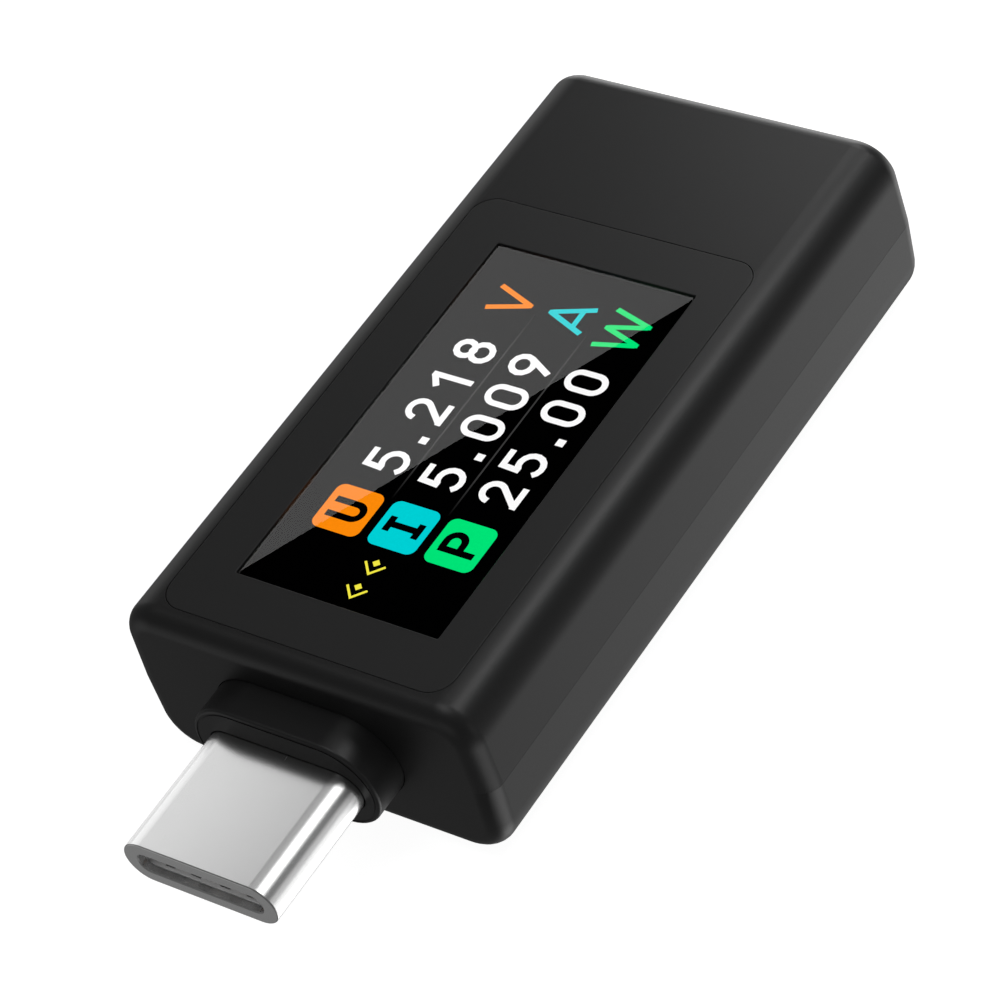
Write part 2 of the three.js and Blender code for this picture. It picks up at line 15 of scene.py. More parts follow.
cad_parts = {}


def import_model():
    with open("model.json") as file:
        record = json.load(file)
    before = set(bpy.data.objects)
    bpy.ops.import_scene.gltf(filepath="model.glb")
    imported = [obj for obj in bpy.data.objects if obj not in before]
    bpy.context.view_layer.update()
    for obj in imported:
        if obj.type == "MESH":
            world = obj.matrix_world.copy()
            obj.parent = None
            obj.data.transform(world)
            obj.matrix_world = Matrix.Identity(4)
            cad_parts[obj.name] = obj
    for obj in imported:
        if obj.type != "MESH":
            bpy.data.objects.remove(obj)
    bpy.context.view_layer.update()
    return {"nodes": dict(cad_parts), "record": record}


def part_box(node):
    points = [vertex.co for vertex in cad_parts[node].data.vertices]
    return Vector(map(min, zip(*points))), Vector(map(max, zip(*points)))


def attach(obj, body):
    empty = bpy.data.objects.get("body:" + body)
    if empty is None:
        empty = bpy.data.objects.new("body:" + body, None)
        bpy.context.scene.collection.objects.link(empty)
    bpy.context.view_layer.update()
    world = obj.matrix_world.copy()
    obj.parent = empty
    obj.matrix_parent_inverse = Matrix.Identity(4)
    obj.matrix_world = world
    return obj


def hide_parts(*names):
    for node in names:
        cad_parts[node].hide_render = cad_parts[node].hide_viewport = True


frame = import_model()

MM = 0.001


def box_mm(node):
    low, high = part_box(node)
    return low / MM, high / MM


# ---------------------------------------------------------------- dimensions

CASE_LOW, CASE_HIGH = box_mm("lower_shell")[0], box_mm("upper_shell")[1]
PARTING = box_mm("upper_shell")[0].z
HALF_WIDTH = CASE_HIGH.x
TOP = CASE_HIGH.z
NEAR, FAR = CASE_LOW.y, CASE_HIGH.y
DRAFT_TOP, DRAFT_BOTTOM = 0.12, 0.1  # how far the sides lean in above and below the parting line
SIDE_TOP_ROUND, SIDE_BOTTOM_ROUND, END_ROUND = 2.0, 2.25, 1.0
WALL = 1.2
LIP_INSET, LIP_HEIGHT = 0.6, 0.6
FIT = 0.04  # the gap left between pieces that meet
PARTING_CHAMFER = 0.008
INNER_ROUND = 0.3  # the least radius of a corner inside the casing

BEZEL = box_mm("display_bezel")
BEZEL_ROUND, BEZEL_GROOVE = 1.2, 0.024  # the radius of its corners and the gap round it
BEZEL_EDGE, RECESS_EDGE = 0.045, 0.01  # how far its own edge and the casing's edge round it are rounded off
LENS = box_mm("display_lens")
LENS_BORDER, LENS_FLANGE = 0.5, 0.44  # the hidden flange's width round the window and its thickness
LENS_FLANGE_TOP = LENS[0].z + LENS_FLANGE
WINDOW_CORNER, WINDOW_RIM = 0.08, 0.03
WINDOW_LEFT, WINDOW_RIGHT = LENS[0].x + LENS_BORDER, LENS[1].x - LENS_BORDER
WINDOW_NEAR, WINDOW_FAR = LENS[0].y + LENS_BORDER, LENS[1].y - LENS_BORDER
GLASS = box_mm("display_front_glass")
BOARD = box_mm("main_board")

PLUG = box_mm("plug_shell")
PLUG_WIDTH, PLUG_HEIGHT, PLUG_WALL, PLUG_LIP, PLUG_EDGE = 8.25, 2.4, 0.3, 0.35, 0.07
PLUG_REAR_SPARE = 0.05
SLOT_WIDTH, SLOT_HEIGHT, SLOT_ROUND, SLOT_CHAMFER = 6.7, 1.08, 0.5, 0.06
MID_PLATE = box_mm("plug_mid_plate")
AXIS = (MID_PLATE[0].z + MID_PLATE[1].z) / 2  # the height of the plug's and the socket's axis
COLLAR = box_mm("plug_collar")
COLLAR_AXIS = (COLLAR[0].z + COLLAR[1].z) / 2
COLLAR_WIDTH, COLLAR_HEIGHT, COLLAR_EDGE, FLANGE_DEPTH = 9.9, 5.1, 0.16, 0.8
COLLAR_LINE_OUTSIDE, COLLAR_LINE_INSIDE, COLLAR_LINE_DEPTH = 0.18, 0.28, 0.035
BORE_CHAMFER = 0.03
SOCKET = box_mm("socket_shell")
SOCKET_WIDTH, SOCKET_HEIGHT, SOCKET_WALL, SOCKET_EDGE = 8.34, 2.56, 0.3, 0.06
SOCKET_GAP, SOCKET_CHAMFER = 0.08, 0.12  # round the shell in the casing's hole; at the rim of hole and mouth
TAB_X, TAB_OVERLAP, TAB_THICK = 3.75, 0.3, 0.3  # the plug shell's solder tabs
LEG_X, LEG_Y, LEG_HALF, LEG_THICK, LEG_BELOW = 4.15, 32, 0.5, 0.25, 0.4  # the socket shell's legs

ARC_STEPS = 12
SAME_PLACE, SLIVER = 1e-5, 0.0005  # points this close are one; edges this short are dissolved
FAR_OUT = 1.0  # how far a cutting shape runs past the face it cuts
SPARE = 0.2  # how far a shape runs past a face where FAR_OUT would reach too far


# ---------------------------------------------------------------- outlines

def arc(centre_u, centre_v, radius, start, end, steps=ARC_STEPS):
    angles = (math.radians(start + (end - start) * i / steps) for i in range(steps + 1))
    return [(centre_u + radius * math.cos(a), centre_v + radius * math.sin(a)) for a in angles]


def without_repeats(points, closed=True):
    """The points that lie apart from the next one; an open line keeps its last point."""
    apart = [p for p, q in zip(points, points[1:]) if math.dist(p, q) > SAME_PLACE]
    ends_at_start = closed and math.dist(points[-1], points[0]) <= SAME_PLACE
    return apart if ends_at_start else apart + [points[-1]]


def rounded_rect(centre_u, centre_v, half_u, half_v, radius):
    u, v = half_u - radius, half_v - radius
    corners = ((u, v, 0), (-u, v, 90), (-u, -v, 180), (u, -v, 270))
    points = []
    for du, dv, start in corners:
        points += arc(centre_u + du, centre_v + dv, radius, start, start + 90)
    return without_repeats(points)


def oval(centre_v, width, height, inset=0.0):
    """A flat-sided oval, fully round at both ends."""
    half_v = height / 2 - inset
    return rounded_rect(0, centre_v, width / 2 - inset, half_v, half_v)


def casing_section(inset, part="whole"):
    """The casing's section across Y: the whole of it, or the part above or below the parting line."""
    half = HALF_WIDTH - inset
    top_round = max(SIDE_TOP_ROUND - inset, INNER_ROUND)
    bottom_round = max(SIDE_BOTTOM_ROUND - inset, INNER_ROUND)
    top_u, top_v = half - DRAFT_TOP - top_round, TOP - inset - top_round
    bottom_u, bottom_v = half - DRAFT_BOTTOM - bottom_round, CASE_LOW.z + inset + bottom_round
    upper = arc(top_u, top_v, top_round, 0, 90) + arc(-top_u, top_v, top_round, 90, 180)
    lower = arc(-bottom_u, bottom_v, bottom_round, 180, 270) + arc(bottom_u, bottom_v, bottom_round, 270, 360)
    flat = half - PARTING_CHAMFER
    if part == "upper":
        edge = PARTING + PARTING_CHAMFER
        return [(flat, PARTING), (half, edge)] + upper + [(-half, edge), (-flat, PARTING)]
    if part == "lower":
        edge = PARTING - PARTING_CHAMFER
        return [(-flat, PARTING), (-half, edge)] + lower + [(half, edge), (flat, PARTING)]
    return [(half, PARTING)] + upper + [(-half, PARTING)] + lower


def round_start(low, radius, steps=8):
    """Pairs of position and inset that carry a section along a bar's rounded first end."""
    quarter = [math.pi / 2 * i / steps for i in range(steps + 1)]
    return [(low + radius * (1 - math.cos(a)), radius * (1 - math.sin(a))) for a in quarter]


def round_end(high, radius, steps=8):
    """The same for a bar's rounded last end."""
    return [(high - at, inset) for at, inset in reversed(round_start(0, radius, steps))]


# ---------------------------------------------------------------- meshes

def link(name, mesh):
    made = bpy.data.objects.new(name, mesh)
    bpy.context.scene.collection.objects.link(made)
    return made


def to_object(name, shape):
    bmesh.ops.recalc_face_normals(shape, faces=shape.faces)
    mesh = bpy.data.meshes.new(name)
    shape.to_mesh(mesh)
    shape.free()
    return link(name, mesh)


def skin(name, rings):
    """A closed skin in metres through rings of equally many points in millimetres, with flat ends."""
    made = mm_skin(name, rings)
    made.data.transform(Matrix.Scale(MM, 4))
    return made


def mm_skin(name, rings):
    """The same skin left in millimetres."""
    shape = bmesh.new()
    rows = [[shape.verts.new(Vector(p)) for p in ring] for ring in rings]
    for row, following in zip(rows, rows[1:]):
        for i in range(len(row)):
            j = (i + 1) % len(row)
            shape.faces.new((row[i], row[j], following[j], following[i]))
    shape.faces.new(rows[0])
    shape.faces.new(list(reversed(rows[-1])))
    return to_object(name, shape)


def along_y(name, section, stations):
    """A bar along Y whose section, a function of inset, follows pairs of y and inset."""
    return skin(name, [[(u, y, v) for u, v in section(inset)] for y, inset in stations])


def along_z(name, section, stations):
    return skin(name, [[(u, v, z) for u, v in section(inset)] for z, inset in stations])


def block(name, low, high):
    (x0, y0, z0), (x1, y1, z1) = low, high
    corners = [(x0, y0), (x1, y0), (x1, y1), (x0, y1)]
    return skin(name, [[(x, y, z) for x, y in corners] for z in (z0, z1)])


def bake_modifiers(piece):
    evaluated = piece.evaluated_get(bpy.context.evaluated_depsgraph_get())
    mesh = bpy.data.meshes.new_from_object(evaluated)
    piece.modifiers.clear()
    piece.data = mesh


def boolean(piece, operation, others):
    for other in others:
        modifier = piece.modifiers.new(operation, "BOOLEAN")
        modifier.operation = operation
        modifier.solver = "EXACT"
        modifier.object = other
        bake_modifiers(piece)
        bpy.data.objects.remove(other)
    return piece


def cut(piece, *others):
    return boolean(piece, "DIFFERENCE", others)


def add(piece, *others):
    return boolean(piece, "UNION", others)


def keep(piece, *others):
    return boolean(piece, "INTERSECT", others)


def both_sides(make):
    """The solids that make(sign) builds for the +X and the -X side."""
    return [make(1), make(-1)]


def side_block(name, sign, low, high):
    (x0, y0, z0), (x1, y1, z1) = low, high
    xs = sorted((sign * x0, sign * x1))
    return block(name, (xs[0], y0, z0), (xs[1], y1, z1))


def smooth(piece, angle=30):
    """Smooth shading that stays flat on flat faces and crisp at sharp edges."""
    piece.data.shade_smooth()
    piece.data.set_sharp_from_angle(angle=math.radians(angle))
    weighted = piece.modifiers.new("even normals", "WEIGHTED_NORMAL")
    weighted.keep_sharp = True
    return piece


def stand_for(piece, node, body="meter"):
    """piece takes the place of a CAD node and its material slot."""
    smooth(piece)
    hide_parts(node)
    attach(piece, body)
    piece.data.materials.clear()
    piece.data.materials.append(MATERIALS[SLOT_OF[node]])
    return piece


# ---------------------------------------------------------------- procedural materials

CLOUD_SCALE, ROUGHNESS_SPREAD = 0.35, 0.1
DOT_PITCH, DOT_CONTRAST = 0.1356, 0.04
FADE_START = 0.55  # the share of the half length over which a line stays full
ALONG = (1, 0.05, 1)  # stretches a grain along Y


def node(tree, kind, inputs=None, **settings):
    """Adds a shader node; an input that is a socket is linked, and any other is set."""
    made = tree.nodes.new("ShaderNode" + kind)
    for key, value in settings.items():
        setattr(made, key, value)
    for key, value in (inputs or {}).items():
        if isinstance(value, bpy.types.NodeSocket):
            tree.links.new(value, made.inputs[key])
        else:
            made.inputs[key].default_value = value
    return made


def new_material(name):
    """A material with an empty node tree, its output node, and object coordinates in millimetres."""
    material = bpy.data.materials.new(name)
    material.use_nodes = True
    tree = material.node_tree
    tree.nodes.clear()
    output = node(tree, "OutputMaterial")
    coordinates = node(tree, "TexCoord").outputs["Object"]
    place = node(tree, "VectorMath", {0: coordinates, "Scale": 1 / MM}, operation="SCALE").outputs[0]
    return material, tree, output, place


def stretched(tree, place, scale):
    return node(tree, "VectorMath", {0: place, 1: scale}, operation="MULTIPLY").outputs[0]


def noise(tree, place, scale, detail=2.0):
    return node(tree, "TexNoise", {"Vector": place, "Scale": scale, "Detail": detail}).outputs["Fac"]


def spread(tree, value, low, high):
    """Maps a 0 to 1 value onto low to high."""
    return node(tree, "MapRange", {"Value": value, "To Min": low, "To Max": high}).outputs["Result"]


def shade(tree, value, dark, light):
    """A colour between two, by a 0 to 1 value."""
    mixed = node(tree, "Mix", {"Factor": value}, data_type="RGBA")
    mixed.inputs[6].default_value = (*dark, 1)
    mixed.inputs[7].default_value = (*light, 1)
    return mixed.outputs[2]


def scaled(colour, factor):
    return tuple(channel * factor for channel in colour)


def surface(
    name, colour, roughness, grain, relief, *, metallic=0.0, stretch=(1, 1, 1), variation=0.12, edge=0.0
):
    """A moulded, fired or drawn surface: cloudy tone, uneven roughness, and a fine grain in relief.

    grain is the grain's size, relief its height and edge the radius at which sharp edges are shaded
    round, all in millimetres; stretch scales the grain's pattern along each axis.
    """
    material, tree, output, place = new_material(name)
    along = stretched(tree, place, stretch)
    cloud = noise(tree, along, CLOUD_SCALE, 3)
    fine = noise(tree, along, 1 / grain, 2)
    tone = shade(tree, cloud, scaled(colour, 1 - variation), scaled(colour, 1 + variation))
    rough = spread(tree, fine, roughness * (1 - ROUGHNESS_SPREAD), roughness * (1 + ROUGHNESS_SPREAD))
    soft_edge = {"Normal": node(tree, "Bevel", {"Radius": edge * MM}, samples=4).outputs[0]} if edge else {}
    bump = node(tree, "Bump", {"Height": fine, "Distance": relief * MM, "Strength": 1.0, **soft_edge})
    inputs = {"Base Color": tone, "Roughness": rough, "Metallic": metallic, "Normal": bump.outputs[0]}
    shader = node(tree, "BsdfPrincipled", inputs)
    tree.links.new(shader.outputs[0], output.inputs["Surface"])
    return material


def clear_window(name):
    """Polished clear plastic: see-through, with the reflection of its outer face only."""
    material, tree, output, place = new_material(name)
    geometry = node(tree, "NewGeometry")
    fresnel = node(tree, "Fresnel", {"IOR": 1.5}).outputs[0]
    outside = node(tree, "Math", {0: 1.0, 1: geometry.outputs["Backfacing"]}, operation="SUBTRACT").outputs[0]
    amount = node(tree, "Math", {0: fresnel, 1: outside}, operation="MULTIPLY").outputs[0]
    smudge = spread(tree, noise(tree, place, 0.6, 4), 0.0, 0.004)
    clear = node(tree, "BsdfTransparent", {"Color": (0.97, 0.97, 0.97, 1)})
    gloss = node(tree, "BsdfGlossy", {"Roughness": smudge})
    mixed = node(tree, "MixShader", {0: amount, 1: clear.outputs[0], 2: gloss.outputs[0]})
    tree.links.new(mixed.outputs[0], output.inputs["Surface"])
    return material


def black_glass(name):
    """The dark face of the display: nearly no light comes back from it."""
    material, tree, output, place = new_material(name)
    tone = shade(tree, noise(tree, place, 0.8, 2), (0.0004, 0.0004, 0.0005), (0.0008, 0.0008, 0.001))
    shader = node(tree, "BsdfDiffuse", {"Color": tone, "Roughness": 0.3})
    tree.links.new(shader.outputs[0], output.inputs["Surface"])
    return material


def glowing(name, colour, strength=1.0, fade=None):
    """A lit area of the display with its fine dot pattern; fade is a y range over which it fades out."""
    material, tree, output, place = new_material(name)
    dots = noise(tree, place, 1 / DOT_PITCH, 0)
    level = spread(tree, dots, (1 - DOT_CONTRAST) * strength, (1 + DOT_CONTRAST) * strength)
    if fade:
        y = node(tree, "SeparateXYZ", {0: place}).outputs["Y"]
        middle, half = (fade[0] + fade[1]) / 2, (fade[1] - fade[0]) / 2
        off = node(tree, "Math", {0: y, 1: middle}, operation="SUBTRACT").outputs[0]
        far = node(tree, "Math", {0: off}, operation="ABSOLUTE").outputs[0]
        ends = {"From Min": half * FADE_START, "From Max": half, "To Min": 1.0, "To Max": 0.0}
        share = node(tree, "MapRange", {"Value": far, **ends}).outputs["Result"]
        level = node(tree, "Math", {0: level, 1: share}, operation="MULTIPLY").outputs[0]
    shader = node(tree, "Emission", {"Color": (*colour, 1), "Strength": level})
    tree.links.new(shader.outputs[0], output.inputs["Surface"])
    return material


def circuit_board(name):
    """Green solder mask over fine copper tracks."""
    material, tree, output, place = new_material(name)
    grid = {"Vector": place, "Scale": 1.0, "Mortar Size": 0.03, "Brick Width": 1.3, "Row Height": 0.5}
    tracks = node(tree, "TexBrick", grid)
    tone = shade(tree, tracks.outputs["Fac"], (0.008, 0.075, 0.03), (0.02, 0.16, 0.06))
    grain = noise(tree, place, 12, 2)
    height = node(tree, "Math", {0: tracks.outputs["Fac"], 1: grain}, operation="ADD").outputs[0]
    bump = node(tree, "Bump", {"Height": height, "Distance": 0.01 * MM})
    rough = spread(tree, grain, 0.3, 0.45)
    shader = node(tree, "BsdfPrincipled", {"Base Color": tone, "Roughness": rough, "Normal": bump.outputs[0]})
    tree.links.new(shader.outputs[0], output.inputs["Surface"])
    return material


def flex_film(name):
    """Amber film with copper conductors running along it."""
    material, tree, output, place = new_material(name)
    lines = node(tree, "TexWave", {"Vector": place, "Scale": 1.2}, bands_direction="X").outputs["Fac"]
    tone = shade(tree, lines, (0.3, 0.1, 0.015), (0.55, 0.24, 0.07))
    bump = node(tree, "Bump", {"Height": lines, "Distance": 0.01 * MM})
    shader = node(tree, "BsdfPrincipled", {"Base Color": tone, "Roughness": 0.35, "Normal": bump.outputs[0]})
    tree.links.new(shader.outputs[0], output.inputs["Surface"])
    return material


MATERIALS = {
    "casing": surface("casing", (0.012, 0.012, 0.0122), 0.4, 0.09, 0.0012, variation=0.05),
    "bezel": surface("bezel", (0.012, 0.012, 0.0122), 0.44, 0.07, 0.001, variation=0.05),
    "lens": clear_window("lens"),
    "adhesive": surface("adhesive", (0.01, 0.01, 0.01), 0.85, 0.1, 0.004),
    "display_glass": black_glass("display_glass"),
    "light_guide": surface("light_guide", (0.78, 0.8, 0.82), 0.35, 0.15, 0.002, variation=0.03),
    "display_frame": surface("display_frame", (0.62, 0.62, 0.59), 0.5, 0.12, 0.003, variation=0.04),
    "flex": flex_film("flex"),
    "foam": surface("foam", (0.02, 0.02, 0.021), 0.95, 0.12, 0.04),
    "board": circuit_board("board"),
    "chip": surface("chip", (0.014, 0.014, 0.015), 0.55, 0.06, 0.004, edge=0.04),
    "soldered_metal": surface("soldered_metal", (0.55, 0.56, 0.57), 0.3, 0.2, 0.006, metallic=1, edge=0.03),
    "ceramic": surface("ceramic", (0.4, 0.28, 0.16), 0.55, 0.08, 0.003, edge=0.03),
    "connector_shell": surface(
        "connector_shell", (0.635, 0.635, 0.635), 0.26, 0.05, 0.0006,
        metallic=1, stretch=ALONG, variation=0.03,
    ),
    "spring_steel": surface("spring_steel", (0.5, 0.5, 0.51), 0.28, 0.05, 0.001, metallic=1, stretch=ALONG),
    "gold": surface("gold", (0.83, 0.56, 0.2), 0.22, 0.06, 0.001, metallic=1, stretch=ALONG),
    "insulator": surface("insulator", (0.22, 0.22, 0.22), 0.5, 0.08, 0.002, edge=0.02),
}
SLOT_OF = {entry["node"]: entry["material_slot"] for entry in frame["record"]["subparts"]}


def finish_cad_nodes():
    for name, part in frame["nodes"].items():
        part.data.materials.clear()
        part.data.materials.append(MATERIALS[SLOT_OF[name]])


# ---------------------------------------------------------------- casing

# x, y from the casing's near end as in all of these, and whether the post has a pin
POSTS = [(-7.4, 4.6, True), (7.4, 4.6, False), (-7.4, 32.6, False), (7.4, 32.6, True)]
POST_HALF, PIN_RADIUS, PIN_STEPS = 0.75, 0.45, 16
PIN_HEIGHTS = (3, 5.3)
RIB_X, RIB_Y, RIB_HALF = (7.2, 8.4), (11, 23), 0.8
SNAP_Y, SNAP_HALF, SNAP_TIP = (8, 30), 2, 0.4  # the tip lies this far inside the casing's side
SNAP_HEIGHTS = (0.1, 0.25, 0.35, 0.55)  # of the ridge's corners above the parting line
SHELF_BORDER, SHELF_THICKNESS, ADHESIVE_ROOM = 0.3, 0.6, 0.1
OPENING_HALF_WIDTH, OPENING_Y, OPENING_BOTTOM = 6.7, (2.3, 27.4), 7


def whole_block(name, inset):
    """The casing's outer shape, drawn in by inset all round."""
    radius = max(END_ROUND - inset, INNER_ROUND)
    stations = round_start(NEAR + inset, radius) + round_end(FAR - inset, radius)
    return along_y(name, lambda extra: casing_section(inset + extra), stations)


def half_block(name, part):
    stations = round_start(NEAR, END_ROUND) + round_end(FAR, END_ROUND)
    return along_y(name, lambda inset: casing_section(inset, part), stations)


def slab(name, bottom, top):
    """A slab that covers the casing between two heights."""
    low, high = (-HALF_WIDTH - FAR_OUT, NEAR - FAR_OUT, bottom), (HALF_WIDTH + FAR_OUT, FAR + FAR_OUT, top)
    return block(name, low, high)


def bezel_outline(margin):
    centre_y = (BEZEL[0].y + BEZEL[1].y) / 2
    half_y = (BEZEL[1].y - BEZEL[0].y) / 2
    return rounded_rect(0, centre_y, BEZEL[1].x + margin, half_y + margin, BEZEL_ROUND + margin)


def collar_outline(inset):
    return oval(COLLAR_AXIS, COLLAR_WIDTH, COLLAR_HEIGHT, inset)


def plug_outline(inset):
    return oval(AXIS, PLUG_WIDTH, PLUG_HEIGHT, inset)


def socket_outline(inset):
    return oval(AXIS, SOCKET_WIDTH + 2 * SOCKET_WALL, SOCKET_HEIGHT + 2 * SOCKET_WALL, inset)


def end_holes():
    """The collar's hole in the near end and the socket's in the far end."""
    stations = [(NEAR - FAR_OUT, -FIT), (COLLAR[1].y - FLANGE_DEPTH, -FIT)]
    plug_hole = along_y("plug_hole", collar_outline, stations)
    chamfer = [(FAR - SOCKET_CHAMFER, -SOCKET_GAP), (FAR + FAR_OUT, -SOCKET_GAP - SOCKET_CHAMFER - FAR_OUT)]
    stations = [(FAR - WALL - FAR_OUT, -SOCKET_GAP)] + chamfer
    return plug_hole, along_y("socket_hole", socket_outline, stations)


def snap_ridge(sign, y, margin):
    """A ridge on the lower shell's lip, or with a margin the slot that it clicks into."""
    root, tip = HALF_WIDTH - LIP_INSET - SPARE, HALF_WIDTH - SNAP_TIP + margin
    foot, low, high, top = (PARTING + height for height in SNAP_HEIGHTS)
    outline = [(root, foot - margin), (tip, low - margin), (tip, high + margin), (root, top + margin)]
    ends = (NEAR + y - SNAP_HALF - margin, NEAR + y + SNAP_HALF + margin)
    return skin("snap", [[(sign * u, end, v) for u, v in outline] for end in ends])


def upper_shell():
    shell = half_block("upper_case", "upper")
    cut(shell, whole_block("hollow", WALL))
    shelf = [(BEZEL[0].z - SHELF_THICKNESS, SHELF_BORDER), (TOP - WALL + SPARE / 2, SHELF_BORDER)]
    add(shell, along_z("shelf", bezel_outline, shelf))
    chamfer = [(TOP - RECESS_EDGE, BEZEL_GROOVE), (TOP + FAR_OUT, BEZEL_GROOVE + RECESS_EDGE + FAR_OUT)]
    recess = along_z("recess", bezel_outline, [(BEZEL[0].z - ADHESIVE_ROOM, BEZEL_GROOVE)] + chamfer)
    rebate = whole_block("rebate", LIP_INSET - FIT)
    keep(rebate, slab("rebate_slab", PARTING - FAR_OUT, PARTING + LIP_HEIGHT + FIT))
    near, far = (NEAR + y for y in OPENING_Y)
    opening = block("opening", (-OPENING_HALF_WIDTH, near, OPENING_BOTTOM), (OPENING_HALF_WIDTH, far, TOP))
    cut(shell, recess, opening, rebate, *end_holes())
    for y in SNAP_Y:
        cut(shell, *both_sides(lambda sign: snap_ridge(sign, y, FIT)))
    for y in RIB_Y:
        low = (RIB_X[0], NEAR + y - RIB_HALF, BOARD[1].z + FIT)
        high = (RIB_X[1], NEAR + y + RIB_HALF, TOP - WALL + SPARE)
        add(shell, *both_sides(lambda sign: side_block("rib", sign, low, high)))
    stand_for(shell, "upper_shell")


def lower_shell():
    shell = half_block("lower_case", "lower")
    lip = whole_block("lip", LIP_INSET)
    keep(lip, slab("lip_slab", PARTING - 2 * SPARE, PARTING + LIP_HEIGHT))
    add(shell, lip)
    cut(shell, whole_block("hollow", WALL))
    for y in SNAP_Y:
        add(shell, *both_sides(lambda sign: snap_ridge(sign, y, 0)))
    for x, y, has_pin in POSTS:
        low = (x - POST_HALF, NEAR + y - POST_HALF, WALL - SPARE)
        add(shell, block("post", low, (x + POST_HALF, NEAR + y + POST_HALF, BOARD[0].z - FIT)))
        if has_pin:
            outline = without_repeats(arc(x, NEAR + y, PIN_RADIUS, 0, 360, PIN_STEPS))
            add(shell, skin("pin", [[(u, v, z) for u, v in outline] for z in PIN_HEIGHTS]))
    cut(shell, *end_holes())
    stand_for(shell, "lower_shell")


def collar_groove(front):
    """A fine line round the collar's front face, just inside its edge."""
    outer = [(front - FAR_OUT, COLLAR_LINE_OUTSIDE), (front + COLLAR_LINE_DEPTH, COLLAR_LINE_OUTSIDE)]
    inner = [(front - 2 * FAR_OUT, COLLAR_LINE_INSIDE), (front + FAR_OUT, COLLAR_LINE_INSIDE)]
    return cut(along_y("groove", collar_outline, outer), along_y("land", collar_outline, inner))


def collar():
    front, back = COLLAR[0].y, COLLAR[1].y
    piece = along_y("plug_boss", collar_outline, round_start(front, COLLAR_EDGE, 4) + [(back, 0)])
    width, height = COLLAR[1].x * 2, COLLAR[1].z - COLLAR[0].z
    flange = [(back - FLANGE_DEPTH, 0), (back, 0)]
    add(piece, along_y("flange", lambda inset: oval(COLLAR_AXIS, width, height, inset), flange))
    bore = [(front - FAR_OUT, -FIT - FAR_OUT), (front + BORE_CHAMFER, -FIT), (back + FAR_OUT, -FIT)]
    cut(piece, along_y("bore", plug_outline, bore), collar_groove(front))
    stand_for(piece, "plug_collar")


# ---------------------------------------------------------------- face

def window_outline(margin):
    centre_u, half_u = (WINDOW_LEFT + WINDOW_RIGHT) / 2, (WINDOW_RIGHT - WINDOW_LEFT) / 2 + margin
    centre_v, half_v = (WINDOW_NEAR + WINDOW_FAR) / 2, (WINDOW_FAR - WINDOW_NEAR) / 2 + margin
    return rounded_rect(centre_u, centre_v, half_u, half_v, WINDOW_CORNER)


def bezel():
    bottom, top = BEZEL[0].z, BEZEL[1].z
    edge = [(z, -inset) for z, inset in round_end(top, BEZEL_EDGE, 3)]
    piece = along_z("bezel_plate", bezel_outline, [(bottom, 0)] + edge)
    pocket_ends = (bottom - FAR_OUT, LENS_FLANGE_TOP + FIT / 2)
    pocket = along_z("pocket", window_outline, [(z, LENS_BORDER + FIT) for z in pocket_ends])
    chamfer = [(top - WINDOW_RIM, 0), (top + FAR_OUT, FAR_OUT + WINDOW_RIM)]
    cut(piece, pocket, along_z("window", window_outline, [(bottom - FAR_OUT, 0)] + chamfer))
    stand_for(piece, "display_bezel")


def lens():
    """A stepped pane: its hidden flange sits under the bezel."""
    bottom, top = LENS[0].z, LENS[1].z
    stations = [(bottom, -FIT), (top - WINDOW_RIM, -FIT), (top, -FIT - WINDOW_RIM)]
    piece = along_z("lens_pane", window_outline, stations)
    add(piece, along_z("lens_flange", window_outline, [(z, LENS_BORDER) for z in (bottom, LENS_FLANGE_TOP)]))
    return stand_for(piece, "display_lens")


# ---------------------------------------------------------------- read-out

FIGURE_HEIGHT, FIGURE_WIDTH, FIGURE_STROKE = 2.18, 1.37, 0.31
FIGURE_STEP, POINT_STEP, POINT_SIDE = 2.03, 1.61, 0.41
UNIT_STROKE, ICON_STROKE, ICON_LETTER = 0.27, 0.36, 1.91
ROW_STEP = 3.07
ICON_WIDTH, ICON_HEIGHT, ICON_ROUND = 2.68, 2.57, 0.43
CHEVRON_TIP, CHEVRON_REACH, CHEVRON_HALF, CHEVRON_STROKE = 0.02, 0.62, 0.54, 0.115
DIAMOND_MIDDLE, DIAMOND_HALF = 0.68, 0.21
LINE_WIDTH = 0.08
READOUT_DEPTH, READOUT_GAP = 0.012, 0.001  # its thickness and the room under it
READOUT_GLOW, LINE_GLOW = 1.08, 0.045
ZIGZAG_GAP, ZIGZAG_REACH = 0.01, 0.062
MITRE_LIMIT = 0.3  # the least cosine that a corner's mitre is worked out with
ROWS = [("U", "5.218", "V", "orange"), ("I", "5.009", "A", "cyan"), ("P", "25.00", "W", "green")]
INKS = {
    "white": (1.0, 1.0, 1.0),
    "orange": (1.0, 0.26, 0.003),
    "cyan": (0.0, 0.645, 0.68),
    "green": (0.0, 0.79, 0.19),
    "yellow": (0.92, 0.83, 0.06),
}
MIDDLE_ROW_X = (GLASS[0].x + GLASS[1].x) / 2  # rows lie along Y with their tops towards -X
MARKS_X = MIDDLE_ROW_X - 0.07  # tiles, arrows and lines sit a little higher than the figures
SCREEN_NEAR = GLASS[0].y - 2.5  # the places along a row are measured from here
ICON_Y, FIRST_FIGURE_Y, UNIT_Y = SCREEN_NEAR + 9.43, SCREEN_NEAR + 12.67, SCREEN_NEAR + 23.33
ARROWS_Y = (SCREEN_NEAR + 5.04, SCREEN_NEAR + 6.51)
LINES_Y = (SCREEN_NEAR + 10.7, SCREEN_NEAR + 22.9)


def tangent(x, y, centre_y, radius):
    """Where a line from (x, y) touches the right side of a circle centred on the Y axis."""
    angle = math.atan2(y - centre_y, x) + math.acos(radius / math.hypot(x, y - centre_y))
    return radius * math.cos(angle), centre_y + radius * math.sin(angle)


